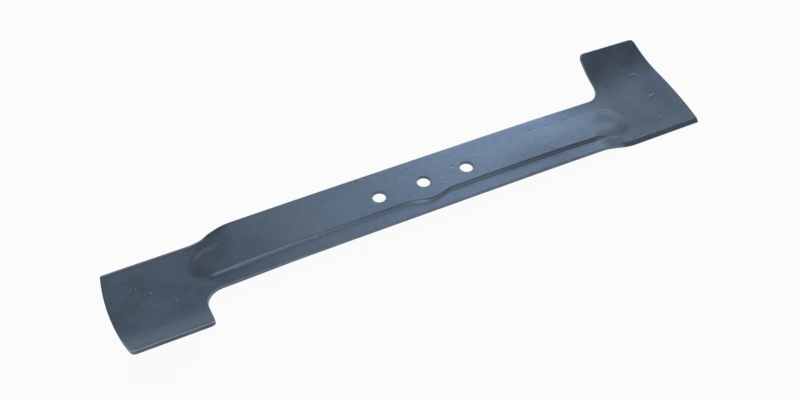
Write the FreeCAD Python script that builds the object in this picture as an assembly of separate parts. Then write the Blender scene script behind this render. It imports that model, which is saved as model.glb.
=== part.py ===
import FreeCAD, Part
import math
import os

# Rotary mower blade pressed from one steel sheet, in millimetres and degrees.
# X runs along the blade and Z points up; the origin is the centre hole's axis
# at the upper face of the raised pad. The blade looks the same after half a
# turn about that axis, so one end is described and the other is turned from it.
# "Out" is the distance from the centre along X, and "across" is the distance
# from the centre line, positive towards the wing and negative towards the
# cutting edge of the same end.

# Blank
blade_length = 430.0
strip_width = 45.6
sheet_thickness = 2.4

# Fixing holes
hole_diameter = 9.2
hole_pitch = 32.4

# Raised pad with its oval boss about the centre hole
pad_height = 2.2
pad_foot_width = 25.8
pad_step_width = 1.5
boss_foot_half_length = 21.7
boss_foot_half_width = 16.3
boss_blend = 2.0
pad_end = 161.0
underside_step_shift = 0.9
soft_start_cutting_side = 128.0
soft_start_wing_side = 148.0
soft_length = 12.0
soft_foot = 2.0
soft_top = 7.0

# Flat seat on top of the pad, around the holes
seat_length = 100.0
seat_fade = 12.0
seat_stock = 0.06

# Ramp from the strip down to the cutting side of the paddle
ramp_start = 129.0
ramp_end = 159.0
wing_side_ramp_start = 92.0
wing_side_ramp_end = 161.0
strip_bow_start = 40.0
strip_bow_radius = 9000.0

# Paddle and wing section, from the cutting edge across to the wing edge
cutting_edge_height = -10.1
paddle_tilt = 5.2
paddle_dish_radius = 385.0
wing_bend_start = 29.0
wing_bend_radius = 47.5

# Ground bevel on the cutting edge
bevel_width = 2.8
cutting_land = 0.9
bevel_start = 143.0
bevel_runout = 7.0

# Plan outline of one end
edge_setback = 0.5
setback_start = 134.0
setback_end = 150.0
notch_out = 158.4
notch_lean = 3.1
notch_root_radius = 11.3
wing_reach = 56.1
wing_edge_taper = 0.74
wing_inner_corner_radius = 3.5
wing_outer_corner_radius = 4.1
tip_radius = 172.0
tip_centre_across = -4.8

# Sizes that follow
half_length = blade_length / 2.0
half_strip = strip_width / 2.0
half_pad = pad_foot_width / 2.0
half_seat = seat_length / 2.0
cutting_across = half_strip - edge_setback
tip_centre_out = half_length - tip_radius

# Spacing of the surface's grid lines, how far it runs past the blank, and the reach of slope readings
boss_spacing = 3.0
seat_spacing = 4.0
strip_spacing = 28.0
ramp_spacing = 2.5
paddle_spacing = 9.0
step_spacing = 0.35
bevel_spacing = 0.7
wing_spacing = 4.0
grid_overrun = 6.0
surface_degree = 3
slope_reach = 0.5
bevel_overrun = 1.5


def ease(value, start, end):
    """Smooth rise from 0 at start to 1 at end."""
    share = min(max((value - start) / (end - start), 0.0), 1.0)
    return share * share * (3.0 - 2.0 * share)


def section_height(across):
    """Height of the paddle and its wing at a distance across."""
    from_edge = across + cutting_across
    height = cutting_edge_height + math.tan(math.radians(paddle_tilt)) * from_edge
    height += from_edge ** 2 / (2.0 * paddle_dish_radius)
    past_bend = max(across - wing_bend_start, 0.0)
    return height + past_bend ** 2 / (2.0 * wing_bend_radius)


def sheet_height(out, across):
    """Height of the sheet without its raised pad."""
    share_across = min(max((across + half_strip) / strip_width, 0.0), 1.0)
    cutting_side = ease(out, ramp_start, ramp_end)
    wing_side = ease(out, wing_side_ramp_start, wing_side_ramp_end)
    ramp = cutting_side + (wing_side - cutting_side) * share_across
    bow = max(out - strip_bow_start, 0.0) ** 2 / (2.0 * strip_bow_radius)
    return (1.0 - ramp) * (-pad_height - bow) + ramp * section_height(across)


def inside_pad(out, across):
    """Distance inward from the foot line of the pad and its boss."""
    past_centre = max(out - (pad_end - half_pad), 0.0)
    slot = half_pad - math.hypot(past_centre, across)
    boss_ratio = boss_foot_half_width / boss_foot_half_length
    boss = boss_foot_half_width - math.hypot(out * boss_ratio, across)
    gap = max(boss_blend - abs(slot - boss), 0.0)
    return max(slot, boss) + gap ** 2 / (4.0 * boss_blend)


def softened(crisp_share, out, across):
    """Share of the pad's rise once its step turns soft towards the round end."""
    side = min(max((across + half_pad) / pad_foot_width, 0.0), 1.0)
    start = soft_start_cutting_side + (soft_start_wing_side - soft_start_cutting_side) * side
    softness = ease(out, start, start + soft_length)
    soft_share = ease(inside_pad(out, across), -soft_foot, soft_top)
    return crisp_share + (soft_share - crisp_share) * softness


def pad_rise(out, across):
    """Rise of the pad's upper face, steep at its foot, with stock for the flat seat."""
    share = min(max(inside_pad(out, across) / pad_step_width, 0.0), 1.0)
    past_seat = ease(out, half_seat - seat_fade / 2.0, half_seat + seat_fade / 2.0)
    stock = seat_stock * (1.0 - 2.0 * past_seat)
    return (pad_height + stock) * softened(1.0 - (1.0 - share) ** 2, out, across)


def recess_rise(out, across):
    """Rise of the recess under the pad, round at its mouth."""
    inward = inside_pad(out, across) - underside_step_shift
    share = min(max(inward / pad_step_width, 0.0), 1.0)
    return pad_height * softened(share ** 2, out, across)


def bevel_drop(out, across):
    """Depth ground off the upper face beside the cutting edge."""
    share = (bevel_width - cutting_across - across) / bevel_width
    share = min(max(share, 0.0), bevel_overrun)
    depth = (sheet_thickness - cutting_land) * share
    return depth * ease(out, bevel_start, bevel_start + bevel_runout)


def thickness_along_z(out, across):
    """Sheet thickness measured upright, which grows with the slope."""
    reach = slope_reach
    slope_out = (sheet_height(out + reach, across) - sheet_height(out - reach, across)) / (2.0 * reach)
    slope_across = (sheet_height(out, across + reach) - sheet_height(out, across - reach)) / (2.0 * reach)
    return sheet_thickness * math.sqrt(1.0 + slope_out ** 2 + slope_across ** 2)


def of_either_end(height, x, y):
    """Value of a height rule for one end, read at any x and y."""
    return height(abs(x), y if x >= 0.0 else -y)


def top_height(out, across):
    """Upper face of the blade."""
    return sheet_height(out, across) + pad_rise(out, across) - bevel_drop(out, across)


def bottom_height(out, across):
    """Lower face of the blade."""
    raised = sheet_height(out, across) + recess_rise(out, across)
    return raised - thickness_along_z(out, across)


def spread(stops):
    """Grid lines between stops given as (place, spacing after it)."""
    lines = []
    for (place, spacing), (next_place, _) in zip(stops, stops[1:]):
        count = max(1, math.ceil((next_place - place) / spacing))
        step = (next_place - place) / count
        lines += [place + step * index for index in range(count)]
    return lines + [stops[-1][0]]


def mirrored(lines):
    """Grid lines on both sides of zero."""
    return [-line for line in reversed(lines[1:])] + lines


def grid_out():
    """Grid lines along the blade."""
    stops = [
        (0.0, boss_spacing),
        (boss_foot_half_length + boss_spacing, strip_spacing),
        (half_seat - seat_fade, seat_spacing),
        (half_seat + seat_fade, strip_spacing),
        (min(ramp_start, bevel_start) - 2.0 * ramp_spacing, ramp_spacing),
        (max(ramp_end, pad_end) + 2.0 * ramp_spacing, paddle_spacing),
        (half_length + grid_overrun, paddle_spacing),
    ]
    return mirrored(spread(stops))


def grid_across():
    """Grid lines across the blade."""
    step_inside = half_pad - pad_step_width - 2.0 * step_spacing - underside_step_shift
    stops = [
        (0.0, wing_spacing),
        (step_inside, step_spacing),
        (boss_foot_half_width + step_spacing, 2.0 * bevel_spacing),
        (cutting_across - bevel_width - bevel_spacing, bevel_spacing),
        (half_strip + 2.0 * bevel_spacing, wing_spacing),
        (wing_reach + 2.0 * grid_overrun, wing_spacing),
    ]
    return mirrored(spread(stops))


def control_places(lines):
    """Places of the control points that keep a grid even on the lines."""
    padded = [lines[0]] * surface_degree + lines + [lines[-1]] * surface_degree
    places = []
    for index in range(len(lines) + surface_degree - 1):
        window = padded[index + 1:index + 1 + surface_degree]
        places.append(sum(window) / surface_degree)
    return places


def sheet_face(height):
    """Smooth face whose height follows a rule."""
    lines_out = grid_out()
    lines_across = grid_across()
    rows = []
    for x in control_places(lines_out):
        row = [FreeCAD.Vector(x, y, of_either_end(height, x, y)) for y in control_places(lines_across)]
        rows.append(row)
    ends = surface_degree + 1
    repeats_out = [ends] + [1] * (len(lines_out) - 2) + [ends]
    repeats_across = [ends] + [1] * (len(lines_across) - 2) + [ends]
    surface = Part.BSplineSurface()
    surface.buildFromPolesMultsKnots(
        rows, repeats_out, repeats_across, lines_out, lines_across,
        False, False, surface_degree, surface_degree,
    )
    return surface.toShape()


def point(x, y, z=0.0):
    """Point in the blade's frame."""
    return FreeCAD.Vector(x, y, z)


def rounded(before, corner, after, radius):
    """Arc that rounds a corner between two straight edges."""
    inward = (before - corner).normalize()
    onward = (after - corner).normalize()
    half_angle = inward.getAngle(onward) / 2.0
    start = corner + inward * (radius / math.tan(half_angle))
    end = corner + onward * (radius / math.tan(half_angle))
    bisector = (inward + onward).normalize()
    centre = corner + bisector * (radius / math.sin(half_angle))
    return Part.Arc(start, centre - bisector * radius, end)


def tip_corner(edge_point, edge_direction, radius, z):
    """Arc that rounds the wing edge into the tip's large arc."""
    centre_of_tip = point(tip_centre_out, tip_centre_across, z)
    down = point(edge_direction.y, -edge_direction.x)
    start = edge_point + down * radius - centre_of_tip
    along = start.dot(edge_direction)
    reach = math.sqrt(along ** 2 - start.dot(start) + (tip_radius - radius) ** 2)
    centre = edge_point + down * radius + edge_direction * (reach - along)
    on_edge = centre - down * radius
    outward = (centre - centre_of_tip).normalize()
    on_tip = centre + outward * radius
    middle = centre + (outward - down).normalize() * radius
    return Part.Arc(on_edge, middle, on_tip)


def setback_curve(z):
    """Two tangent arcs that step the strip's edge in to the cutting edge."""
    start = point(setback_start, -half_strip, z)
    end = point(setback_end, -cutting_across, z)
    middle = (start + end) * 0.5
    lean = math.atan2(edge_setback, setback_end - setback_start)
    bulge = (middle - start).Length / 2.0 * math.tan(lean / 2.0)
    side = point(-math.sin(lean), math.cos(lean)) * bulge
    first = Part.Arc(start, (start + middle) * 0.5 - side, middle)
    second = Part.Arc(middle, (middle + end) * 0.5 + side, end)
    return [first, second]


def end_curves(z, reach):
    """Outline of one end at a height, from the cutting side to the notch."""
    lean = math.radians(notch_lean)
    taper = math.radians(wing_edge_taper)
    root = point(notch_out, half_strip, z)
    side_direction = point(-math.sin(lean), math.cos(lean))
    edge_direction = point(math.cos(taper), -math.sin(taper))
    inner = root + side_direction * ((reach - half_strip) / math.cos(lean))
    before_root = point(setback_start, half_strip, z)
    after_inner = inner + edge_direction * half_strip

    tip_across = -cutting_across - tip_centre_across
    tip = point(tip_centre_out + math.sqrt(tip_radius ** 2 - tip_across ** 2), -cutting_across, z)
    corner = tip_corner(inner, edge_direction, wing_outer_corner_radius, z)
    middle_of_tip = point(half_length, tip_centre_across, z)
    root_arc = rounded(before_root, root, inner, notch_root_radius)
    inner_arc = rounded(root, inner, after_inner, wing_inner_corner_radius)

    curves = setback_curve(z)
    curves.append(Part.LineSegment(curves[-1].EndPoint, tip))
    curves.append(Part.Arc(tip, middle_of_tip, corner.EndPoint))
    curves.append(Part.Arc(corner.EndPoint, arc_middle(corner), corner.StartPoint))
    curves.append(Part.LineSegment(corner.StartPoint, inner_arc.EndPoint))
    curves.append(Part.Arc(inner_arc.EndPoint, arc_middle(inner_arc), inner_arc.StartPoint))
    curves.append(Part.LineSegment(inner_arc.StartPoint, root_arc.EndPoint))
    curves.append(Part.Arc(root_arc.EndPoint, arc_middle(root_arc), root_arc.StartPoint))
    return curves


def arc_middle(arc):
    """Point halfway along an arc."""
    return arc.value((arc.FirstParameter + arc.LastParameter) / 2.0)


def outline(z, reach):
    """Closed outline of the whole blade at a height."""
    curves = end_curves(z, reach)
    half_turned = point(-setback_start, half_strip, z)
    edges = [curve.toShape() for curve in curves]
    edges.append(Part.LineSegment(curves[-1].EndPoint, half_turned).toShape())
    turned = [edge.rotated(point(0, 0, z), point(0, 0, 1), 180.0) for edge in edges]
    return Part.Wire(Part.__sortEdges__(edges + turned))


def wing_edge_slope():
    """Slope of the sheet across the blade at the wing's edge."""
    rise = section_height(wing_reach + slope_reach) - section_height(wing_reach - slope_reach)
    return rise / (2.0 * slope_reach)


def blank_solid():
    """Outline as a solid whose wing edges stand square to the bent sheet."""
    edge_height = section_height(wing_reach)
    above = edge_height + grid_overrun
    below = cutting_edge_height - 2.0 * sheet_thickness
    lean = wing_edge_slope()
    upper = outline(above, wing_reach - lean * (above - edge_height))
    lower = outline(below, wing_reach + lean * (edge_height - below))
    return Part.makeLoft([lower, upper], True, True)


def fixing_holes():
    """Three round holes in line through the pad."""
    depth = pad_height + 2.0 * sheet_thickness
    holes = []
    for place in (-hole_pitch, 0.0, hole_pitch):
        base = point(place, 0, -depth)
        holes.append(Part.makeCylinder(hole_diameter / 2.0, 2.0 * depth, base))
    return holes


def seat_trim():
    """Block whose underside leaves the pad flat around the holes."""
    reach = half_seat + seat_fade
    return Part.makeBox(2.0 * reach, strip_width, pad_height, point(-reach, -half_strip))


def make_blade():
    """Blade as one solid."""
    drop = point(0, 0, -2.0 * blade_length)
    under_top = sheet_face(top_height).extrude(drop)
    under_bottom = sheet_face(bottom_height).extrude(drop)
    sheet = blank_solid().common(under_top).cut(under_bottom)
    blade = sheet.cut(fixing_holes() + [seat_trim()])
    return blade.Solids[0]


os.makedirs("parts", exist_ok=True)
make_blade().exportStep("parts/blade.step")
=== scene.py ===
import math

import bpy
import numpy as np
from mathutils import Matrix, Vector
from mathutils.geometry import delaunay_2d_cdt


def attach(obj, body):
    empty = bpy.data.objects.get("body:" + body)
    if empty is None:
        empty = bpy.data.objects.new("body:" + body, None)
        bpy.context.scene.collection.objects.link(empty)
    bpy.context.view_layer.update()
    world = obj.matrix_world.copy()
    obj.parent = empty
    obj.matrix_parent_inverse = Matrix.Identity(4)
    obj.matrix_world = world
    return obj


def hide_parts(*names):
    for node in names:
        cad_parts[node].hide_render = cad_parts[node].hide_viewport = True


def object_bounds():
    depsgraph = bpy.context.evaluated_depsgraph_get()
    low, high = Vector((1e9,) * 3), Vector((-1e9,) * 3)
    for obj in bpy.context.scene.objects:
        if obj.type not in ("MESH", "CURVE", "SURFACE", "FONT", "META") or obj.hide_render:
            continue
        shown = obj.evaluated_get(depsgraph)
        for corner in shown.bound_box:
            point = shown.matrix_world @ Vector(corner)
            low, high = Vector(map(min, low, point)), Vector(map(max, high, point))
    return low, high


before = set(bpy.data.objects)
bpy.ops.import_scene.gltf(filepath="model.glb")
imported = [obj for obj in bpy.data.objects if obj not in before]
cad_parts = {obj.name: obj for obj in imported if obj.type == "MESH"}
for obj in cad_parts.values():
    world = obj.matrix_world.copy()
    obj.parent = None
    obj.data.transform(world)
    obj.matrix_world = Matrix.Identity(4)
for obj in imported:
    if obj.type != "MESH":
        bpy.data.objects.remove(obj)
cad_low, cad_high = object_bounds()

bl_info = {
    "name": "Rotary mower blade",
    "version": (1, 0, 0),
    "blender": (4, 5, 0),
    "location": "3D View > Sidebar > Mower blade",
    "description": "Makes a pressed mower blade with its worn blue-grey finish, and a plain studio",
    "category": "Mesh",
}

MM = 0.001
BLADE_LENGTH = (cad_high - cad_low).x
FLOOR_HEIGHT = cad_low.z

# Fineness of the mesh, with the merge distance in millimetres
OUTLINE_SPACING = 1.1 * MM
MARK_SPACING = 0.25 * MM
STRIP_SPACING = 2.0 * MM
BOSS_SPACING = 0.7 * MM
COARSE_SPACING = 1.4 * MM
MIDDLE_SPACING = 1.1 * MM
FINE_SPACING = 0.6 * MM
STEP_SPACING = 0.25 * MM
BEVEL_SPACING = 0.15 * MM
HOLE_SIDES = 72
LEAST_ARC_STEPS = 4
ROUNDING_DEGREES = (0.0, 22.5, 45.0, 67.5, 90.0)
RIM_CLEARANCE = 0.45 * MM
HOLE_CLEARANCE = 0.35 * MM
SLOPE_REACH = 0.5 * MM
MERGE_DISTANCE = 1e-6
DISTANCE_BATCH = 2000

# Share of a press mark's reach within which it has its full height
MARK_FLAT_SHARE = 0.15

# Noises of the finish: scale, detail, roughness
CLOUDY_NOISE = (0.045, 4.0, 0.6)
BLOTCHY_NOISE = (0.22, 3.0, 0.5)
SPECKLE_NOISE = (1.6, 2.0, 0.6)
STREAK_NOISE = (1.0, 3.0, 0.6)
GRAIN_NOISE = (5.5, 2.0, 0.5)
STREAK_STRETCH = (0.05, 0.9, 0.3)

# Share of each tone that its noise mixes in, height of each noise in the relief, and roughness added
BLOTCHY_TONE = 0.22
STREAK_TONE = 0.16
SPECKLE_TONE = 0.25
GRAIN_RELIEF = 0.012
SPECKLE_RELIEF = 0.02
BLOTCHY_RELIEF = 0.07
STREAK_RELIEF = 0.02
ROUGHNESS_SPREAD = 0.05
SPECKLE_ROUGHNESS = 0.08

# Studio, with places and sizes in metres and the sensor in millimetres
FLOOR_REACH = 6.0
FLOOR_GAP = 0.02 * MM
LAMP_AIM = (0.0, 0.0, 0.0)
KEY_PLACE = (0.64, 0.92, 0.64)
KEY_SIZE = (0.60, 0.60)
FRONT_PLACE = (-0.28, -0.95, 0.70)
FRONT_SIZE = (0.40, 0.25)
FRONT_TINT = (1.0, 1.0, 1.0)
SENSOR_WIDTH = 36.0
CLIP_RANGE = (0.01, 20.0)


# Shape of the sheet

def ease(value, start, end):
    """Smooth rise from 0 at start to 1 at end."""
    share = np.clip((value - start) / (end - start), 0.0, 1.0)
    return share * share * (3.0 - 2.0 * share)


def section_height(s, across):
    """Height of the paddle and its wing at a distance across."""
    from_edge = across + s.strip_width / 2.0 - s.edge_setback
    height = s.cutting_edge_height + math.tan(s.paddle_tilt) * from_edge
    height = height + from_edge ** 2 / (2.0 * s.paddle_dish_radius)
    past_bend = np.maximum(across - s.wing_bend_start, 0.0)
    return height + past_bend ** 2 / (2.0 * s.wing_bend_radius)


def sheet_height(s, out, across):
    """Height of the sheet's upper face without its raised pad."""
    share_across = np.clip((across + s.strip_width / 2.0) / s.strip_width, 0.0, 1.0)
    cutting_side = ease(out, s.ramp_start, s.ramp_end)
    wing_side = ease(out, s.wing_side_ramp_start, s.wing_side_ramp_end)
    ramp = cutting_side + (wing_side - cutting_side) * share_across
    bow = np.maximum(out - s.strip_bow_start, 0.0) ** 2 / (2.0 * s.strip_bow_radius)
    return (1.0 - ramp) * (-s.pad_height - bow) + ramp * section_height(s, across)


def inside_pad(s, out, across):
    """Distance inward from the foot line of the pad and its boss."""
    half_pad = s.pad_foot_width / 2.0
    past_centre = np.maximum(out - (s.pad_end - half_pad), 0.0)
    slot = half_pad - np.hypot(past_centre, across)
    boss_ratio = s.boss_half_width / s.boss_half_length
    boss = s.boss_half_width - np.hypot(out * boss_ratio, across)
    gap = np.maximum(s.boss_blend - np.abs(slot - boss), 0.0)
    return np.maximum(slot, boss) + gap ** 2 / (4.0 * s.boss_blend)


def softened(s, crisp_share, inward, out, across):
    """Share of the pad's rise once its step turns soft towards the round end."""
    side = np.clip((across + s.pad_foot_width / 2.0) / s.pad_foot_width, 0.0, 1.0)
    start = s.soft_start_cutting_side + (s.soft_start_wing_side - s.soft_start_cutting_side) * side
    softness = ease(out, start, start + s.soft_length)
    soft_share = ease(inward, -s.soft_foot, s.soft_top)
    return crisp_share + (soft_share - crisp_share) * softness


def pad_rise(s, inward, out, across):
    """Rise of the pad's upper face, steep at its foot and round at its top."""
    share = np.clip(inward / s.pad_step_width, 0.0, 1.0)
    return s.pad_height * softened(s, 1.0 - (1.0 - share) ** 2, inward, out, across)


def recess_rise(s, inward, out, across):
    """Rise of the recess under the pad, round at its mouth."""
    share = np.clip((inward - s.underside_step_shift) / s.pad_step_width, 0.0, 1.0)
    return s.pad_height * softened(s, share ** 2, inward, out, across)


def bevel_depth(s, out, across):
    """Depth ground off the upper face beside the cutting edge."""
    cutting_across = s.strip_width / 2.0 - s.edge_setback
    share = np.clip((s.bevel_width - cutting_across - across) / s.bevel_width, 0.0, 1.0)
    run = ease(out, s.bevel_start, s.bevel_start + s.bevel_runout)
    return (s.sheet_thickness - s.cutting_land) * share * run


# Small marks on the upper face, in millimetres and degrees:
# place along and across, half length, half width, turn, height
PRESS_MARKS = (
    (-196.0, 0.0, 0.8, 3.2, 10.0, 0.22),
    (-188.0, -8.0, 0.8, 2.2, -15.0, 0.22),
    (-185.0, -19.0, 1.4, 1.0, 30.0, -0.20),
    (-175.0, -21.0, 0.9, 2.0, 5.0, 0.20),
    (-193.0, -14.0, 1.2, 1.0, 0.0, -0.16),
    (-200.0, 12.0, 1.8, 1.0, 20.0, 0.16),
    (-206.0, -3.0, 1.2, 1.6, 0.0, 0.14),
    (-165.0, 6.0, 1.2, 1.2, 0.0, -0.08),
    (-210.0, -4.0, 1.0, 1.4, 0.0, 0.14),
    (-198.0, -43.0, 1.6, 0.8, 60.0, -0.12),
    (191.0, 32.0, 5.2, 1.5, -6.0, 0.20),
    (208.0, 30.5, 1.8, 0.9, 20.0, 0.10),
    (195.0, 10.6, 5.6, 1.3, 10.0, 0.18),
    (190.0, -6.5, 1.6, 1.2, 0.0, -0.16),
    (-41.5, 20.0, 0.9, 2.6, -40.0, -0.14),
    (-35.0, 21.0, 1.4, 0.9, 0.0, -0.12),
    (-27.0, 20.0, 1.6, 0.9, 10.0, -0.10),
    (-10.0, 14.5, 3.4, 0.9, 25.0, 0.08),
    (-5.0, 18.0, 2.8, 0.9, 30.0, 0.08),
    (-18.0, 8.0, 1.6, 1.0, 30.0, -0.08),
    (24.0, 4.0, 1.2, 2.0, 20.0, -0.12),
    (12.0, -7.0, 1.8, 0.7, -20.0, 0.10),
    (40.0, 20.0, 1.4, 1.0, 0.0, 0.08),
    (63.0, 13.5, 1.1, 1.8, 0.0, -0.12),
    (74.0, 14.2, 2.6, 1.0, 30.0, 0.10),
    (91.0, 13.8, 3.0, 1.1, 15.0, -0.10),
    (104.0, 13.2, 3.0, 1.0, 8.0, -0.10),
    (120.0, 13.6, 4.6, 0.9, 5.0, -0.09),
    (-95.0, -19.0, 2.6, 0.8, 35.0, 0.08),
    (-82.0, -15.5, 2.2, 0.8, 35.0, 0.09),
    (-75.0, 0.0, 3.4, 2.2, 20.0, -0.05),
    (42.0, 4.0, 2.2, 1.6, 0.0, -0.05),
    (-133.0, -14.0, 2.2, 0.8, 5.0, -0.12),
    (-143.0, -7.0, 0.9, 1.2, 0.0, 0.08),
    (168.0, -19.0, 5.0, 0.9, 2.0, 0.08),
    (178.0, -18.6, 3.0, 0.8, -4.0, 0.08),
    (-80.0, -22.3, 1.2, 0.9, 0.0, -0.16),
    (-56.0, -22.3, 1.2, 0.9, 0.0, -0.16),
    (-115.0, -22.3, 1.4, 0.9, 0.0, -0.14),
)


def in_mark(plan, mark):
    """Places of plan points along and across one press mark, from its middle."""
    x, y, _, _, degrees, _ = mark
    turn = math.radians(degrees)
    offset = plan - np.array((x, y)) * MM
    along = offset[:, 0] * math.cos(turn) + offset[:, 1] * math.sin(turn)
    aside = offset[:, 1] * math.cos(turn) - offset[:, 0] * math.sin(turn)
    return along, aside


def mark_rise(plan):
    """Height of the press marks over plan points."""
    rise = np.zeros(len(plan))
    for mark in PRESS_MARKS:
        _, _, half_length, half_width, _, height = mark
        along, aside = in_mark(plan, mark)
        away = np.hypot(along / (half_length * MM), aside / (half_width * MM))
        rise += height * MM * ease(away, 1.0, MARK_FLAT_SHARE)
    return rise


def sheet_slopes(s, out, across):
    """Slope of the sheet's upper face outward and across."""
    reach = SLOPE_REACH
    rise_out = sheet_height(s, out + reach, across) - sheet_height(s, out - reach, across)
    rise_across = sheet_height(s, out, across + reach) - sheet_height(s, out, across - reach)
    return rise_out / (2.0 * reach), rise_across / (2.0 * reach)


def surfaces(s, plan, drop):
    """Upper and lower points over plan points, rounded by drop, and their distance inside the pad."""
    side = np.where(plan[:, 0] < 0.0, -1.0, 1.0)
    out, across = np.abs(plan[:, 0]), plan[:, 1] * side
    sheet = sheet_height(s, out, across)
    slope_out, slope_across = sheet_slopes(s, out, across)
    lean = np.sqrt(1.0 + slope_out ** 2 + slope_across ** 2)
    inward = inside_pad(s, out, across)
    rise = pad_rise(s, inward, out, across) - bevel_depth(s, out, across) + mark_rise(plan)
    top = np.column_stack([plan, sheet + rise - drop])
    shift = s.sheet_thickness / lean
    under_x = plan[:, 0] + shift * slope_out * side
    under_y = plan[:, 1] + shift * slope_across * side
    under_z = sheet - shift + recess_rise(s, inward, out, across) + drop
    return top, np.column_stack([under_x, under_y, under_z]), inward


# Plan outline

def line_points(start, end, spacing):
    """Points from start up to but not including end."""
    start, end = np.array(start), np.array(end)
    count = max(1, math.ceil(np.linalg.norm(end - start) / spacing))
    return [start + (end - start) * index / count for index in range(count)]


def arc_points(centre, start, end, spacing):
    """Points the short way round an arc, from start up to but not including end."""
    centre, start, end = np.array(centre), np.array(start), np.array(end)
    from_angle = math.atan2(*(start - centre)[::-1])
    turn = math.atan2(*(end - centre)[::-1]) - from_angle
    turn = (turn + math.pi) % (2.0 * math.pi) - math.pi
    radius = np.linalg.norm(start - centre)
    count = max(LEAST_ARC_STEPS, math.ceil(abs(turn) * radius / spacing))
    angles = [from_angle + turn * index / count for index in range(count)]
    return [centre + radius * np.array([math.cos(angle), math.sin(angle)]) for angle in angles]


def fillet(before, corner, after, radius):
    """Centre, start and end of an arc that rounds a corner between straight edges."""
    inward = (before - corner) / np.linalg.norm(before - corner)
    onward = (after - corner) / np.linalg.norm(after - corner)
    half_angle = math.acos(np.dot(inward, onward)) / 2.0
    start = corner + inward * radius / math.tan(half_angle)
    end = corner + onward * radius / math.tan(half_angle)
    bisector = (inward + onward) / np.linalg.norm(inward + onward)
    return corner + bisector * radius / math.sin(half_angle), start, end


def tip_corner(s, edge_point, direction):
    """Centre, start and end of the arc between the tip and the wing edge."""
    radius = s.wing_outer_corner_radius
    tip_centre = np.array([BLADE_LENGTH / 2.0 - s.tip_radius, s.tip_centre_across])
    down = np.array([direction[1], -direction[0]])
    start = edge_point + down * radius - tip_centre
    along = np.dot(start, direction)
    reach = math.sqrt(along ** 2 - np.dot(start, start) + (s.tip_radius - radius) ** 2)
    centre = edge_point + down * radius + direction * (reach - along)
    outward = (centre - tip_centre) / np.linalg.norm(centre - tip_centre)
    return centre, centre + outward * radius, centre - down * radius


def setback_points(s, spacing):
    """Two tangent arcs that step the strip's edge in to the cutting edge."""
    half_strip = s.strip_width / 2.0
    count = math.ceil((s.setback_end - s.setback_start) / spacing)
    shares = np.arange(count) / count
    step = np.where(shares < 0.5, 2.0 * shares ** 2, 1.0 - 2.0 * (1.0 - shares) ** 2)
    out = s.setback_start + (s.setback_end - s.setback_start) * shares
    return [np.array([x, y]) for x, y in zip(out, s.edge_setback * step - half_strip)]


def outline(s, spacing):
    """Closed plan outline of the blade, turning left."""
    half_strip = s.strip_width / 2.0
    cutting_across = half_strip - s.edge_setback
    tip_centre = np.array([BLADE_LENGTH / 2.0 - s.tip_radius, s.tip_centre_across])
    tip_rise = -cutting_across - s.tip_centre_across
    tip = np.array([tip_centre[0] + math.sqrt(s.tip_radius ** 2 - tip_rise ** 2), -cutting_across])
    root = np.array([s.notch_out, half_strip])
    side_direction = np.array([-math.sin(s.notch_lean), math.cos(s.notch_lean)])
    edge_direction = np.array([math.cos(s.wing_edge_taper), -math.sin(s.wing_edge_taper)])
    inner = root + side_direction * (s.wing_reach - half_strip) / math.cos(s.notch_lean)
    strip_point = np.array([s.setback_start, half_strip])
    root_centre, root_strip, root_side = fillet(strip_point, root, inner, s.notch_root_radius)
    wing_point = inner + edge_direction * half_strip
    inner_corner = fillet(root, inner, wing_point, s.wing_inner_corner_radius)
    inner_centre, inner_side, inner_edge = inner_corner
    corner_centre, corner_tip, corner_edge = tip_corner(s, inner, edge_direction)

    half = setback_points(s, spacing)
    half += line_points((s.setback_end, -cutting_across), tip, spacing)
    half += arc_points(tip_centre, tip, corner_tip, spacing)
    half += arc_points(corner_centre, corner_tip, corner_edge, spacing / 2.0)
    half += line_points(corner_edge, inner_edge, spacing)
    half += arc_points(inner_centre, inner_edge, inner_side, spacing / 2.0)
    half += line_points(inner_side, root_side, spacing)
    half += arc_points(root_centre, root_side, root_strip, spacing)
    half += line_points(root_strip, (-s.setback_start, half_strip), spacing)
    half = np.array(half)
    return np.vstack([half, -half])


def left_of(steps):
    """Unit vectors to the left of steps."""
    return np.column_stack([-steps[:, 1], steps[:, 0]]) / np.linalg.norm(steps, axis=1)[:, None]


def moved_in(loop, distance):
    """Closed loop moved to its left by a distance for each point."""
    back_left = left_of(loop - np.roll(loop, 1, axis=0))
    ahead_left = left_of(np.roll(loop, -1, axis=0) - loop)
    share = 1.0 + np.sum(back_left * ahead_left, axis=1)
    return loop + (back_left + ahead_left) / share[:, None] * np.asarray(distance)[:, None]


def hole_loop(s, place):
    """Round hole's rim, turning right so that the sheet lies on its left."""
    angles = -2.0 * math.pi * np.arange(HOLE_SIDES) / HOLE_SIDES
    radius = s.hole_diameter / 2.0
    return np.column_stack([place + radius * np.cos(angles), radius * np.sin(angles)])


# Mesh

def spread(stops):
    """Grid lines between stops given as (place, spacing after it), on both sides of zero."""
    lines = []
    for (place, spacing), (next_place, _) in zip(stops, stops[1:]):
        count = max(1, math.ceil((next_place - place) / spacing))
        lines += [place + (next_place - place) * index / count for index in range(count)]
    lines.append(stops[-1][0])
    return np.array([-line for line in reversed(lines[1:])] + lines)


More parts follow.
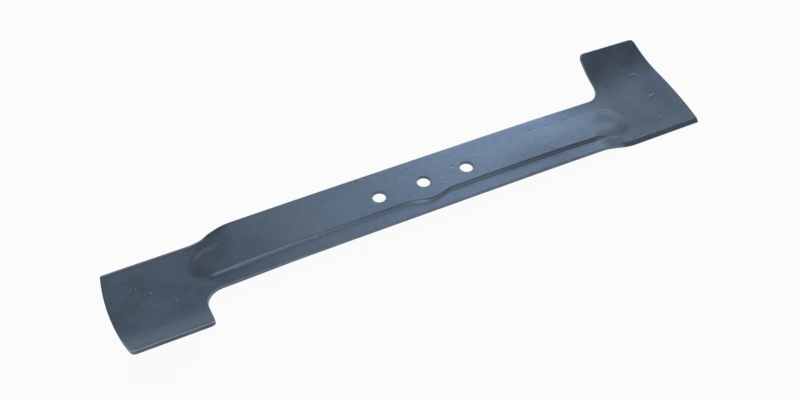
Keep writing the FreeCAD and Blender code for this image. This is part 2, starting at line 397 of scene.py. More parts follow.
def grid_points(s):
    """Grid over the blade, finest at the pad's foot, its boss and the bevel."""
    half_pad = s.pad_foot_width / 2.0
    bevel_across = s.strip_width / 2.0 - s.edge_setback - s.bevel_width
    nose = s.pad_end - half_pad
    along = spread([
        (0.0, BOSS_SPACING),
        (s.boss_half_length + 1.0 * MM, STRIP_SPACING),
        (s.ramp_start - 4.0 * MM, MIDDLE_SPACING),
        (nose - 2.0 * MM, FINE_SPACING),
        (s.pad_end + 1.0 * MM, COARSE_SPACING),
        (BLADE_LENGTH / 2.0, COARSE_SPACING),
    ])
    across = spread([
        (0.0, COARSE_SPACING),
        (half_pad - s.pad_step_width - 0.6 * MM, STEP_SPACING),
        (half_pad + 0.8 * MM, FINE_SPACING),
        (s.boss_half_width + 0.6 * MM, MIDDLE_SPACING),
        (bevel_across - BEVEL_SPACING, BEVEL_SPACING),
        (bevel_across + BEVEL_SPACING, FINE_SPACING),
        (s.strip_width / 2.0, COARSE_SPACING),
        (s.wing_reach, COARSE_SPACING),
    ])
    x, y = np.meshgrid(along, across, indexing="ij")
    return np.column_stack([x.ravel(), y.ravel()])


def patch_line(reach):
    """Even places from one end of a press mark's patch to the other."""
    return np.linspace(-reach, reach, 1 + math.ceil(2.0 * reach / MARK_SPACING))


def with_mark_points(points):
    """Points of the grid, with a fine patch of their own at each press mark."""
    margin = 0.5 * MARK_SPACING
    for mark in PRESS_MARKS:
        x, y, half_length, half_width, degrees, _ = mark
        reach_along, reach_aside = half_length * MM, half_width * MM
        along, aside = in_mark(points, mark)
        clear = (np.abs(along) > reach_along + margin) | (np.abs(aside) > reach_aside + margin)
        patch = np.meshgrid(patch_line(reach_along), patch_line(reach_aside))
        along, aside = (part.ravel() for part in patch)
        turn = math.radians(degrees)
        patch_x = x * MM + along * math.cos(turn) - aside * math.sin(turn)
        patch_y = y * MM + along * math.sin(turn) + aside * math.cos(turn)
        points = np.vstack([points[clear], np.column_stack([patch_x, patch_y])])
    return points


def distance_to(points, loop):
    """Shortest distance from each point to a closed loop."""
    start, step = loop, np.roll(loop, -1, axis=0) - loop
    squared_length = np.sum(step ** 2, axis=1)
    nearest = np.full(len(points), np.inf)
    for first in range(0, len(points), DISTANCE_BATCH):
        offset = points[first:first + DISTANCE_BATCH, None, :] - start[None]
        share = np.clip(np.sum(offset * step[None], axis=2) / squared_length, 0.0, 1.0)
        away = np.linalg.norm(offset - share[..., None] * step[None], axis=2)
        nearest[first:first + DISTANCE_BATCH] = away.min(axis=1)
    return nearest


def is_inside(points, loop):
    """Whether each point lies inside a closed loop."""
    start, end = loop, np.roll(loop, -1, axis=0)
    inside = np.zeros(len(points), bool)
    for (x0, y0), (x1, y1) in zip(start, end):
        if y0 == y1:
            continue
        crosses = (points[:, 1] < y0) != (points[:, 1] < y1)
        cross_x = x0 + (points[:, 1] - y0) * (x1 - x0) / (y1 - y0)
        inside ^= crosses & (points[:, 0] < cross_x)
    return inside


def edge_radius_at(s, loop):
    """Rounding radius of the sheet's edge, smaller along the ground cutting edge."""
    side = np.where(loop[:, 0] < 0.0, -1.0, 1.0)
    ground = ease(np.abs(loop[:, 0]), s.bevel_start, s.bevel_start + s.bevel_runout)
    ground = ground * (loop[:, 1] * side < -s.strip_width / 2.0 + 2.0 * s.edge_setback)
    return s.edge_radius + (s.cutting_edge_radius - s.edge_radius) * ground


def edge_rings(s, loops):
    """Plan points and drops of the rings that round each rim, and their point numbers."""
    radii = [edge_radius_at(s, loops[0])]
    radii += [np.full(len(loop), s.hole_edge_radius) for loop in loops[1:]]
    plan, drops, rings = [], [], []
    count = 0
    for loop, radius in zip(loops, radii):
        loop_rings = []
        for degrees in ROUNDING_DEGREES:
            turn = math.radians(degrees)
            plan.append(moved_in(loop, radius * (1.0 - math.cos(turn))))
            drops.append(radius * (1.0 - math.sin(turn)))
            loop_rings.append(count + np.arange(len(loop)))
            count += len(loop)
        rings.append(loop_rings)
    return np.vstack(plan), np.concatenate(drops), rings


def grid_inside(s, rim, holes):
    """Grid points inside the rim and clear of it and of the holes."""
    grid = with_mark_points(grid_points(s))
    keep = is_inside(grid, rim) & (distance_to(grid, rim) > RIM_CLEARANCE)
    for hole in holes:
        centre = hole.mean(axis=0)
        radius = np.linalg.norm(hole[0] - centre)
        keep &= np.linalg.norm(grid - centre, axis=1) > radius + HOLE_CLEARANCE
    return grid[keep]


def sheet_triangles(plan, inner_rings, grid_numbers):
    """Triangles over the grid and up to the inner rings, all turning left in plan."""
    numbers = np.concatenate(inner_rings + [grid_numbers])
    fixed = []
    first = 0
    for ring in inner_rings:
        fixed += [(first + index, first + (index + 1) % len(ring)) for index in range(len(ring))]
        first += len(ring)
    sent = [Vector(place) for place in plan[numbers] / MM]
    _, _, faces, origins, _, _ = delaunay_2d_cdt(sent, fixed, [], 0, MERGE_DISTANCE, True)
    sent_number = np.array([numbers[origin[0]] for origin in origins])
    triangles = sent_number[np.array(faces)]
    # Thin triangles beside straight edges are judged on the rounded places that were sent
    rounded = plan.copy()
    rounded[numbers] = np.array(sent) * MM
    middles = rounded[triangles].mean(axis=1)
    keep = is_inside(middles, rounded[inner_rings[0]])
    for ring in inner_rings[1:]:
        keep &= ~is_inside(middles, rounded[ring])
    triangles = triangles[keep]
    one_side = rounded[triangles[:, 1]] - rounded[triangles[:, 0]]
    next_side = rounded[triangles[:, 2]] - rounded[triangles[:, 0]]
    turns_right = one_side[:, 0] * next_side[:, 1] - one_side[:, 1] * next_side[:, 0] < 0.0
    triangles[turns_right] = triangles[turns_right][:, ::-1]
    return triangles


def closed_faces(triangles, rings, total):
    """Faces of the upper side, of the lower side numbered from total, and of the edges between."""
    faces = triangles.tolist() + (triangles[:, ::-1] + total).tolist()
    for loop_rings in rings:
        for outer, inner in zip(loop_rings, loop_rings[1:]):
            band = np.column_stack([outer, np.roll(outer, -1), np.roll(inner, -1), inner])
            faces += band.tolist() + (band[:, ::-1] + total).tolist()
        rim = loop_rings[0]
        wall = np.column_stack([rim + total, np.roll(rim, -1) + total, np.roll(rim, -1), rim])
        faces += wall.tolist()
    return faces


def blade_mesh(s):
    """Closed mesh of the whole blade, with edge and foot distances kept on its points."""
    loops = [outline(s, OUTLINE_SPACING)]
    loops += [hole_loop(s, place) for place in (-s.hole_pitch, 0.0, s.hole_pitch)]
    plan, drops, rings = edge_rings(s, loops)
    inner_rings = [loop_rings[-1] for loop_rings in rings]
    rim, *holes = (plan[ring] for ring in inner_rings)
    grid = grid_inside(s, rim, holes)
    grid_numbers = len(plan) + np.arange(len(grid))
    plan = np.vstack([plan, grid])
    drops = np.concatenate([drops, np.zeros(len(grid))])
    triangles = sheet_triangles(plan, inner_rings, grid_numbers)
    top, under, inward = surfaces(s, plan, drops)

    mesh = bpy.data.meshes.new("mower_blade")
    faces = closed_faces(triangles, rings, len(plan))
    mesh.from_pydata(np.vstack([top, under]).tolist(), [], faces)
    mesh.polygons.foreach_set("use_smooth", np.ones(len(mesh.polygons), bool))
    edge_distance = distance_to(plan, loops[0])
    keep_on_points(mesh, "edge_distance", np.tile(edge_distance, 2) / MM)
    keep_on_points(mesh, "pad_distance", np.tile(inward, 2) / MM)
    keep_on_points(mesh, "upper_side", np.repeat([1.0, 0.0], len(plan)))
    mesh.update()
    return mesh


def keep_on_points(mesh, name, values):
    """Stores one number on each point of a mesh."""
    layer = mesh.attributes.new(name, "FLOAT", "POINT")
    layer.data.foreach_set("value", np.asarray(values, np.float32))


# Finish

class Nodes:
    """Adds and links nodes of one tree."""

    def __init__(self, tree):
        self.tree = tree

    def add(self, kind, inputs=None, **values):
        """New node with its settings and inputs, each a value or another node's output."""
        node = self.tree.nodes.new(kind)
        for name, value in values.items():
            setattr(node, name, value)
        for name, value in (inputs or {}).items():
            if isinstance(value, bpy.types.NodeSocket):
                self.tree.links.new(value, node.inputs[name])
            else:
                node.inputs[name].default_value = value
        return node

    def maths(self, operation, first, second=0.0, third=0.0):
        """Output of a maths node."""
        node = self.add("ShaderNodeMath", {0: first, 1: second, 2: third}, operation=operation)
        return node.outputs[0]

    def product(self, first, second, third=1.0):
        """Product of up to three values."""
        return self.maths("MULTIPLY", self.maths("MULTIPLY", first, second), third)

    def band(self, value, centre, reach):
        """Smooth bump of a value about its centre."""
        away = self.maths("ABSOLUTE", self.maths("SUBTRACT", value, centre))
        return self.ramp(away, reach, 0.2 * reach)

    def ramp(self, value, low, high, to_low=0.0, to_high=1.0):
        """Smooth change of a value between two limits."""
        inputs = {"Value": value, "From Min": low, "From Max": high}
        inputs.update({"To Min": to_low, "To Max": to_high})
        node = self.add("ShaderNodeMapRange", inputs, interpolation_type="SMOOTHSTEP")
        return node.outputs[0]

    def noise(self, vector, scale, detail, roughness):
        """Noise between 0 and 1."""
        inputs = {"Vector": vector, "Scale": scale, "Detail": detail, "Roughness": roughness}
        return self.add("ShaderNodeTexNoise", inputs).outputs["Fac"]

    def turned(self, vector, turn=(0, 0, 0), scale=(1, 1, 1)):
        """Coordinates turned and scaled."""
        inputs = {"Vector": vector, "Rotation": turn, "Scale": scale}
        return self.add("ShaderNodeMapping", inputs).outputs[0]

    def mix(self, share, first, second):
        """Colour between two colours, each an output or its red, green and blue."""
        node = self.add("ShaderNodeMix", {"Factor": share}, data_type="RGBA")
        for socket, value in ((node.inputs[6], first), (node.inputs[7], second)):
            if isinstance(value, bpy.types.NodeSocket):
                self.tree.links.new(value, socket)
            else:
                socket.default_value = (*value, 1.0)
        return node.outputs[2]


# Soft spots of painted light and painted shade on the upper face, in millimetres:
# place along and across, half length, half width, tone, strength
LIGHT_AND_SHADE_SPOTS = (
    (158.0, -7.0, 8.0, 7.0, "grime_and_shade", 0.25),
    (143.0, -18.5, 14.0, 8.0, "grime_and_shade", 0.35),
    (146.0, 14.0, 18.0, 10.0, "pale_tone_and_light", 0.45),
    (143.0, -6.0, 12.0, 9.0, "pale_tone_and_light", 0.30),
    (170.0, 18.0, 26.0, 12.0, "pale_tone_and_light", 0.30),
    (-86.0, 0.0, 62.0, 40.0, "pale_tone_and_light", 0.22),
    (-185.0, 23.0, 70.0, 6.0, "grime_and_shade", 0.6),
    (75.0, 15.0, 50.0, 14.0, "grime_and_shade", 0.08),
)


def blade_finish(f):
    """Worn blue-grey finish with mottling and fine grain, soft spots of painted light and shade,
    painted highlights and shade lines, and rubbed front edges.
    """
    material = bpy.data.materials.new("worn_blue_grey")
    material.use_nodes = True
    material.node_tree.nodes.clear()
    nodes = Nodes(material.node_tree)
    metres = nodes.add("ShaderNodeTexCoord").outputs["Object"]
    place = nodes.turned(metres, scale=(1.0 / MM,) * 3)

    edge_away = nodes.add("ShaderNodeAttribute", attribute_name="edge_distance").outputs["Fac"]
    pad_away = nodes.add("ShaderNodeAttribute", attribute_name="pad_distance").outputs["Fac"]
    upper = nodes.add("ShaderNodeAttribute", attribute_name="upper_side").outputs["Fac"]

    cloudy = nodes.noise(place, *CLOUDY_NOISE)
    blotchy = nodes.noise(place, *BLOTCHY_NOISE)
    speckle = nodes.noise(place, *SPECKLE_NOISE)
    streak_place = nodes.turned(place, turn=(0, 0, f.streak_turn), scale=STREAK_STRETCH)
    streaks = nodes.noise(streak_place, *STREAK_NOISE)
    grain = nodes.noise(place, *GRAIN_NOISE)

    # Cloudy ground tone with pale blotches, pale streaks and dark specks
    base = nodes.mix(nodes.ramp(cloudy, 0.35, 0.68), f.paint_dark, f.paint_light)
    pale = nodes.maths("MULTIPLY", nodes.ramp(blotchy, 0.45, 0.75), BLOTCHY_TONE)
    base = nodes.mix(pale, base, f.pale_tone_and_light)
    pale = nodes.maths("MULTIPLY", nodes.ramp(streaks, 0.56, 0.72), STREAK_TONE)
    base = nodes.mix(pale, base, f.pale_tone_and_light)
    specks = nodes.maths("MULTIPLY", nodes.ramp(speckle, 0.62, 0.78), SPECKLE_TONE)
    base = nodes.mix(specks, base, f.grime_and_shade)

    axes = nodes.add("ShaderNodeSeparateXYZ", {0: place}).outputs
    broken = nodes.ramp(speckle, 0.3, 0.5, 0.5, 1.0)
    before = nodes.maths("MULTIPLY", nodes.ramp(axes[1], -7.0, -9.0), upper)
    within_pad = nodes.ramp(nodes.maths("ABSOLUTE", axes[0]), 152.0, 146.0)
    before = nodes.maths("MULTIPLY", before, within_pad)

    # Painted light along the pad's foot in front, lifting the shade at its foot
    foot = nodes.product(nodes.ramp(pad_away, -2.2, -0.8), nodes.ramp(pad_away, 0.9, 0.3), before)
    foot_light_share = nodes.ramp(axes[0], -110.0, -50.0, f.painted_foot_light_left, f.painted_foot_light_right)
    base = nodes.mix(nodes.product(foot, foot_light_share), base, f.pale_tone_and_light)

    # Painted highlight and painted shade lines on the pad's shoulder in front, with a short painted
    # highlight dash at the boss
    line = nodes.product(nodes.band(pad_away, 0.6, 0.26), before, broken)
    shoulder_highlight = nodes.product(nodes.ramp(axes[0], -62.0, -92.0), nodes.ramp(axes[0], -152.0, -149.0))
    dash = nodes.band(axes[0], -7.5, 6.0)
    shoulder_highlight = nodes.product(line, nodes.maths("MAXIMUM", shoulder_highlight, dash), f.shoulder_and_wing_highlight)
    base = nodes.mix(shoulder_highlight, base, f.bare_steel_and_highlight)
    thin = nodes.product(line, nodes.band(axes[0], -38.0, 28.0), f.shoulder_shade)
    base = nodes.mix(thin, base, f.grime_and_shade)

    # Painted shade: darker front on the right
    right = nodes.ramp(axes[0], 20.0, 105.0)
    shade = nodes.product(right, nodes.ramp(axes[0], 148.0, 125.0), upper)
    shade = nodes.product(shade, nodes.ramp(axes[1], 9.0, -9.0), f.front_shade)
    base = nodes.mix(shade, base, f.grime_and_shade)

    # Soft spots of painted light and painted shade
    for x, y, half_length, half_width, tone, strength in LIGHT_AND_SHADE_SPOTS:
        along = nodes.band(axes[0], x, half_length)
        spot = nodes.product(along, nodes.band(axes[1], y, half_width), strength)
        base = nodes.mix(nodes.maths("MULTIPLY", spot, upper), base, getattr(f, tone))

    # Painted highlight on the wing edges, painted shade on the sheared walls and lightly rubbed front
    # edges
    rim = nodes.product(nodes.ramp(edge_away, 0.4, 0.1), nodes.ramp(upper, 0.75, 0.95), broken)
    on_wing = nodes.ramp(nodes.maths("ABSOLUTE", axes[1]), 54.0, 55.0)
    base = nodes.mix(nodes.product(rim, on_wing, f.shoulder_and_wing_highlight), base, f.bare_steel_and_highlight)
    wall = nodes.maths("MULTIPLY", nodes.ramp(upper, 0.0, 0.25), nodes.ramp(upper, 1.0, 0.75))
    base = nodes.mix(nodes.maths("MULTIPLY", wall, f.wall_shade), base, f.grime_and_shade)
    rub = nodes.ramp(edge_away, 0.5, 0.0)
    rub = nodes.maths("MULTIPLY", rub, nodes.ramp(blotchy, 0.42, 0.62, 0.15, 1.0))
    rub = nodes.product(rub, nodes.ramp(axes[1], 10.0, -10.0), f.edge_rub)
    base = nodes.mix(rub, base, f.bare_steel_and_highlight)

    height = nodes.maths("MULTIPLY", grain, GRAIN_RELIEF)
    height = nodes.maths("MULTIPLY_ADD", speckle, SPECKLE_RELIEF, height)
    height = nodes.maths("MULTIPLY_ADD", blotchy, BLOTCHY_RELIEF, height)
    height = nodes.maths("MULTIPLY_ADD", streaks, STREAK_RELIEF, height)
    relief = {"Height": height, "Distance": MM, "Strength": f.bump_strength}
    normal = nodes.add("ShaderNodeBump", relief).outputs[0]

    smoothest, roughest = f.roughness - ROUGHNESS_SPREAD, f.roughness + ROUGHNESS_SPREAD
    rough = nodes.ramp(cloudy, 0.3, 0.7, smoothest, roughest)
    specks = nodes.ramp(speckle, 0.5, 0.8)
    rough = nodes.maths("MULTIPLY_ADD", specks, SPECKLE_ROUGHNESS, rough)
    inputs = {"Base Color": base, "Roughness": rough, "Normal": normal, "Metallic": f.metallic}
    shader = nodes.add("ShaderNodeBsdfPrincipled", inputs)
    out = nodes.add("ShaderNodeOutputMaterial", {"Surface": shader.outputs[0]})
    material.node_tree.nodes.active = out
    return material


# Settings

def length(name, description, millimetres):
    """Length setting whose default is given in millimetres."""
    return bpy.props.FloatProperty(name=name, description=description,
                                   default=millimetres * MM, unit="LENGTH", precision=5)


def angle(name, description, degrees):
    """Angle setting whose default is given in degrees."""
    return bpy.props.FloatProperty(name=name, description=description,
                                   default=math.radians(degrees), subtype="ANGLE")


def colour(name, description, value):
    """Colour setting."""
    return bpy.props.FloatVectorProperty(name=name, description=description, default=value,
                                         size=3, subtype="COLOR", min=0.0, max=1.0)


def amount(name, description, value):
    """Plain number setting."""
    return bpy.props.FloatProperty(name=name, description=description, default=value)


class BladeShape(bpy.types.PropertyGroup):
    strip_width: length("Strip width", "Width of the straight strip", 45.6)
    sheet_thickness: length("Sheet thickness", "Thickness of the steel sheet", 2.4)
    hole_diameter: length("Hole diameter", "Diameter of each fixing hole", 9.2)
    hole_pitch: length("Hole pitch", "Distance between neighbouring holes", 32.4)
    pad_height: length("Pad height", "Rise of the pad above the strip", 2.2)
    pad_foot_width: length("Pad width", "Width of the pad at its foot", 25.8)
    pad_step_width: length("Pad step", "Width of the pad's sloping side", 1.5)
    boss_half_length: length("Boss half length", "Half the oval boss's length at its foot", 21.7)
    boss_half_width: length("Boss half width", "Half the oval boss's width at its foot", 16.3)
    boss_blend: length("Boss blend", "Softness where the boss meets the pad", 2.0)
    pad_end: length("Pad end", "Distance from the centre to the pad's round end", 161.0)
    underside_step_shift: length("Underside step", "How far the recess lies inside the pad's foot", 0.9)
    soft_start_cutting_side: length("Soft start, cutting", "Where the pad's step turns soft", 128.0)
    soft_start_wing_side: length("Soft start, wing", "Where the pad's step turns soft", 148.0)
    soft_length: length("Softening length", "Length over which the step turns soft", 12.0)
    soft_foot: length("Soft foot", "Reach of the soft step outside the foot line", 2.0)
    soft_top: length("Soft top", "Reach of the soft step inside the foot line", 7.0)
    ramp_start: length("Ramp start", "Where the cutting side starts to drop", 129.0)
    ramp_end: length("Ramp end", "Where the cutting side stops dropping", 159.0)
    wing_side_ramp_start: length("Wing side start", "Where the wing side starts to sag", 92.0)
    wing_side_ramp_end: length("Wing side end", "Where the wing side meets the paddle", 161.0)
    strip_bow_start: length("Bow start", "Where the strip's slight bow starts", 40.0)
    strip_bow_radius: length("Bow radius", "Radius of the strip's slight bow", 9000.0)
    cutting_edge_height: length("Cutting edge height", "Height of the cutting edge's upper face", -10.1)
    paddle_tilt: angle("Paddle tilt", "Slope of the paddle at the cutting edge", 5.2)
    paddle_dish_radius: length("Paddle dish", "Radius of the paddle's section", 385.0)
    wing_bend_start: length("Wing bend start", "Where the wing starts to turn up", 29.0)
    wing_bend_radius: length("Wing bend radius", "Radius of the wing's bend", 47.5)
    bevel_width: length("Bevel width", "Width of the ground bevel", 2.8)
    cutting_land: length("Cutting land", "Thickness left at the cutting edge", 0.9)
    bevel_start: length("Bevel start", "Where the ground bevel starts", 143.0)
    bevel_runout: length("Bevel run-out", "Length over which the bevel reaches its depth", 7.0)
    edge_setback: length("Edge setback", "Step from the strip's edge to the cutting edge", 0.5)
    setback_start: length("Setback start", "Where the edge starts to step in", 134.0)
    setback_end: length("Setback end", "Where the edge has stepped in", 150.0)
    notch_out: length("Notch place", "Distance from the centre to the wing's inner side", 158.4)
    notch_lean: angle("Notch lean", "Lean of the wing's inner side", 3.1)
    notch_root_radius: length("Notch root radius", "Radius where the wing leaves the strip", 11.3)
    wing_reach: length("Wing reach", "Distance from the centre line to the wing edge", 56.1)
    wing_edge_taper: angle("Wing taper", "Taper of the wing edge", 0.74)
    wing_inner_corner_radius: length("Inner corner", "Radius of the wing's inner corner", 3.5)
    wing_outer_corner_radius: length("Outer corner", "Radius of the wing's outer corner", 4.1)
    tip_radius: length("Tip radius", "Radius of the blade's end", 172.0)
    tip_centre_across: length("Tip centre", "Distance across to the tip arc's centre", -4.8)
    edge_radius: length("Edge rounding", "Rounding of the sheet's edges", 0.25)
    cutting_edge_radius: length("Cutting edge rounding", "Rounding of the ground edge", 0.12)
    hole_edge_radius: length("Hole rounding", "Rounding of the holes' rims", 0.3)


class BladeFinish(bpy.types.PropertyGroup):
    paint_dark: colour("Dark blue-grey", "Darker tone of the finish", (0.158, 0.215, 0.305))
    paint_light: colour("Light blue-grey", "Lighter tone of the finish", (0.180, 0.243, 0.345))
    # Pale tone of the finish's real blotches and streaks, also used as painted light along the pad's
    # foot and in the pale spots
    pale_tone_and_light: colour("Pale blue-grey", "Rubbed tone of the finish", (0.26, 0.34, 0.46))
    # Grime colour: real dark specks of grime, and also the painted shade on the pad's shoulder line,
    # the sheared walls, the right front and the dark spots
    grime_and_shade: colour("Grime", "Dark tone in the creases", (0.045, 0.055, 0.075))
    # Bare steel tone of the rubbed front edges, also used as the painted highlight on the pad's
    # shoulder and the wing edges
    bare_steel_and_highlight: colour("Bare steel", "Tone of rubbed edges", (0.42, 0.46, 0.50))
    metallic: amount("Metallic", "Share of metallic shine", 0.85)
    roughness: amount("Roughness", "Mean roughness", 0.42)
    bump_strength: amount("Relief", "Strength of the fine relief", 1.0)
    edge_rub: amount("Edge rub", "Rubbing along the front edges", 0.1)
    # Strength of the painted highlight on the pad's shoulder and the wing edge
    shoulder_and_wing_highlight: amount("Shoulder rub", "Rubbing along the pad's shoulder and the wing edge", 0.95)
    # Strength of the painted shade on the sheared walls
    wall_shade: amount("Edge darkness", "Darkness of the sheet's sheared edges", 0.6)
    # Strength of the painted light at the pad's foot, left and right
    painted_foot_light_left: amount("Pale foot, left", "Pale line at the pad's foot on the left", 0.4)
    painted_foot_light_right: amount("Pale foot, right", "Pale line at the pad's foot on the right", 0.85)
    # Strength of the thin painted shade line on the pad's shoulder
    shoulder_shade: amount("Shoulder grime", "Thin dark line on the pad's shoulder", 0.35)
    front_shade: amount("Front shade", "Darker tone in front on the right", 0.36)
    streak_turn: angle("Streak turn", "Direction of the faint streaks", -32.0)


class StudioSettings(bpy.types.PropertyGroup):
    camera_turn: angle("Camera turn", "Turn of the camera to the left of the blade's front", 23.94)
    camera_rise: angle("Camera rise", "Height of the camera above the horizon", 49.93)
    camera_roll: angle("Camera roll", "Roll of the camera", -0.53)
    camera_distance: length("Camera distance", "Distance to the aimed point", 512.08)
    camera_aim: bpy.props.FloatVectorProperty(name="Aim", description="Point the camera looks at",
                                              default=(-0.0211, -0.00823, 0.0), size=3,
                                              subtype="XYZ", unit="LENGTH")
    lens: amount("Lens", "Focal length in millimetres for a sensor 36 mm wide", 35.0)
    floor_colour: colour("Floor", "Colour of the floor", (0.86, 0.86, 0.86))
    floor_white: amount("Floor whiteness", "Share of plain white seen in the floor", 0.94)
    room_front_left: amount("Room front left", "Room light in front on the left", 0.30)
    room_front_right: amount("Room front right", "Room light in front on the right", 0.13)
    room_low_left: amount("Room low left", "Extra low light in front on the left", 0.40)
    room_low_right: amount("Room low right", "Extra low light in front on the right", 0.30)
    room_left: amount("Room left", "Room light behind on the left", 0.235)
    room_right: amount("Room right", "Room light behind on the right", 0.38)
    room_ceiling: amount("Room ceiling", "Extra room light overhead on the left", 0.19)
    room_side: amount("Room side", "Extra room light behind on the right, below the ceiling", 0.38)
    room_tint: colour("Room tint", "Colour of the room light", (1.0, 0.99, 0.96))
    key_tint: colour("Key tint", "Colour of the large light", (0.82, 0.92, 1.0))
    key_power: amount("Key light", "Power of the large light behind on the right, in watts", 3.4)
    front_power: amount("Front light", "Power of the light in front on the left, in watts", 0.9)


# Studio

def look_at(place, aim):
    """Rotation that points a lamp at a place."""
    return (Vector(aim) - Vector(place)).to_track_quat("-Z", "Y")


def area_light(name, place, size, power, tint):
    """Soft rectangular lamp that points at the blade."""
    lamp = bpy.data.lights.new(name, "AREA")
    lamp.shape = "RECTANGLE"
    lamp.size, lamp.size_y = size
    lamp.energy = power
    lamp.color = tint
    holder = bpy.data.objects.new(name, lamp)
    holder.location = place
    holder.rotation_mode = "QUATERNION"
    holder.rotation_quaternion = look_at(place, LAMP_AIM)
    bpy.context.scene.collection.objects.link(holder)


def studio_camera(g):
    """Camera at the photograph's angle."""
    turn, rise, roll = g.camera_turn, g.camera_rise, g.camera_roll
    level = math.cos(rise)
    back = Vector((-math.sin(turn) * level, -math.cos(turn) * level, math.sin(rise)))
    right = (-back).cross(Vector((0, 0, 1))).normalized()
    up = right.cross(-back)
    rolled_right = right * math.cos(roll) + up * math.sin(roll)
    rolled_up = up * math.cos(roll) - right * math.sin(roll)
    data = bpy.data.cameras.new("studio_camera")
    data.sensor_width = SENSOR_WIDTH
    data.lens = g.lens
    data.clip_start, data.clip_end = CLIP_RANGE
    camera = bpy.data.objects.new("studio_camera", data)
    turned = Matrix((rolled_right, rolled_up, back)).transposed().to_4x4()
    place = Vector(g.camera_aim) + back * g.camera_distance
    camera.matrix_world = Matrix.Translation(place) @ turned
    bpy.context.scene.collection.objects.link(camera)
    bpy.context.scene.camera = camera


def studio_floor(g):
    """Wide pale floor that keeps the blade's shadow."""
    mesh = bpy.data.meshes.new("floor")
    reach = FLOOR_REACH
    corners = [(-reach, -reach), (reach, -reach), (reach, reach), (-reach, reach)]
    mesh.from_pydata([(x, y, FLOOR_HEIGHT - FLOOR_GAP) for x, y in corners], [], [(0, 1, 2, 3)])
    floor = bpy.data.objects.new("floor", mesh)
    bpy.context.scene.collection.objects.link(floor)
    material = bpy.data.materials.new("pale_floor")
    material.use_nodes = True
    material.node_tree.nodes.clear()
    nodes = Nodes(material.node_tree)
    matt = nodes.add("ShaderNodeBsdfDiffuse", {"Color": (*g.floor_colour, 1.0)})
    white = nodes.add("ShaderNodeEmission", {"Color": (1, 1, 1, 1), "Strength": 1.0})
    path = nodes.add("ShaderNodeLightPath").outputs
    seen = nodes.maths("MAXIMUM", path["Is Camera Ray"], path["Is Glossy Ray"])
    seen = nodes.maths("MAXIMUM", seen, path["Is Transmission Ray"])
    share = nodes.maths("MULTIPLY", seen, g.floor_white)
    both = nodes.add("ShaderNodeMixShader", {0: share, 1: matt.outputs[0], 2: white.outputs[0]})
    nodes.add("ShaderNodeOutputMaterial", {"Surface": both.outputs[0]})
    mesh.materials.append(material)


def studio_world(g):
    """Soft pale room whose strength changes with direction."""
    world = bpy.data.worlds.new("studio")
    bpy.context.scene.world = world
    world.use_nodes = True
    world.node_tree.nodes.clear()
    nodes = Nodes(world.node_tree)
    towards = nodes.add("ShaderNodeTexCoord").outputs["Generated"]
    axes = nodes.add("ShaderNodeSeparateXYZ", {0: towards}).outputs
    behind = nodes.ramp(axes[1], -0.15, 0.15)
    back = nodes.ramp(axes[0], -0.2, 0.25, g.room_left, g.room_right)
    front = nodes.ramp(axes[0], 0.0, 0.5, g.room_front_left, g.room_front_right)
    low = nodes.ramp(axes[0], 0.0, 0.5, g.room_low_left, g.room_low_right)
    low = nodes.maths("MULTIPLY", low, nodes.ramp(axes[2], 0.55, 0.1))
    front = nodes.maths("ADD", front, low)
    strength = nodes.maths("MULTIPLY", behind, nodes.maths("SUBTRACT", back, front))
    strength = nodes.maths("ADD", strength, front)
    overhead = nodes.ramp(axes[2], 0.62, 0.78)
    ceiling = nodes.product(overhead, nodes.band(axes[0], 0.08, 0.32), g.room_ceiling)
    side = nodes.product(nodes.ramp(axes[0], 0.5, 0.8), nodes.ramp(axes[2], 0.8, 0.55), behind)
    side = nodes.maths("MULTIPLY", side, g.room_side)
    strength = nodes.maths("ADD", strength, nodes.maths("ADD", ceiling, side))
    room = nodes.add("ShaderNodeBackground", {"Color": (*g.room_tint, 1.0), "Strength": strength})
    nodes.add("ShaderNodeOutputWorld", {"Surface": room.outputs[0]})


# Operators and panel

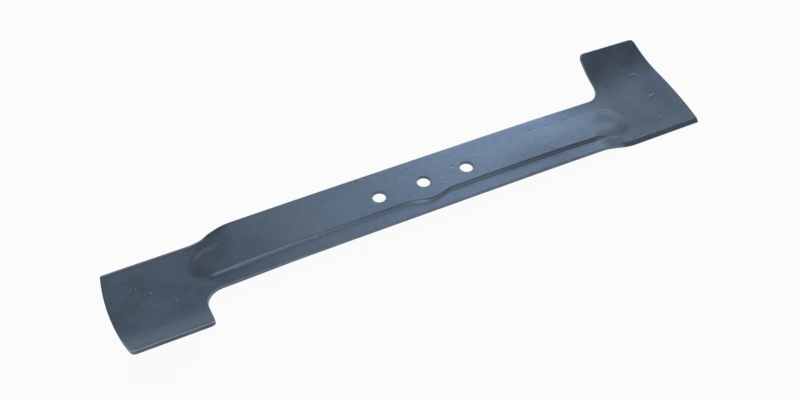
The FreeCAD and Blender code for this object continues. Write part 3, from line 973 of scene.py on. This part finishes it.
class MOWER_OT_blade(bpy.types.Operator):
    """Makes the pressed blade in place of its plain solid"""
    bl_idname = "mower.blade"
    bl_label = "Make blade"

    def execute(self, context):
        mesh = blade_mesh(context.scene.blade_shape)
        piece = bpy.data.objects.new("pressed_blade", mesh)
        context.scene.collection.objects.link(piece)
        mesh.materials.append(blade_finish(context.scene.blade_finish))
        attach(piece, "root")
        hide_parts("blade")
        return {"FINISHED"}


class MOWER_OT_stage(bpy.types.Operator):
    """Makes the floor, room light, lamps and camera"""
    bl_idname = "mower.stage"
    bl_label = "Make studio"

    def execute(self, context):
        settings = context.scene.blade_studio
        studio_floor(settings)
        studio_world(settings)
        area_light("key_light", KEY_PLACE, KEY_SIZE, settings.key_power, settings.key_tint)
        area_light("front_light", FRONT_PLACE, FRONT_SIZE, settings.front_power, FRONT_TINT)
        studio_camera(settings)
        context.scene.view_settings.view_transform = "Standard"
        return {"FINISHED"}


class MOWER_PT_panel(bpy.types.Panel):
    """Lists the blade's operators and settings"""
    bl_label = "Mower blade"
    bl_idname = "MOWER_PT_panel"
    bl_space_type = "VIEW_3D"
    bl_region_type = "UI"
    bl_category = "Mower blade"

    def draw(self, context):
        layout, scene = self.layout, context.scene
        layout.operator(MOWER_OT_blade.bl_idname)
        layout.operator(MOWER_OT_stage.bl_idname)
        for settings in (scene.blade_shape, scene.blade_finish, scene.blade_studio):
            box = layout.box()
            for name in settings.__annotations__:
                box.prop(settings, name)


CLASSES = (BladeShape, BladeFinish, StudioSettings, MOWER_OT_blade, MOWER_OT_stage, MOWER_PT_panel)


def register():
    """Registers the classes and their settings on the scene."""
    for item in CLASSES:
        bpy.utils.register_class(item)
    bpy.types.Scene.blade_shape = bpy.props.PointerProperty(type=BladeShape)
    bpy.types.Scene.blade_finish = bpy.props.PointerProperty(type=BladeFinish)
    bpy.types.Scene.blade_studio = bpy.props.PointerProperty(type=StudioSettings)


def unregister():
    """Removes the settings and the classes."""
    del bpy.types.Scene.blade_studio
    del bpy.types.Scene.blade_finish
    del bpy.types.Scene.blade_shape
    for item in reversed(CLASSES):
        bpy.utils.unregister_class(item)


def main():
    """Makes the blade and the studio."""
    register()
    bpy.ops.mower.blade()
    bpy.ops.mower.stage()


if __name__ == "__main__":
    main()
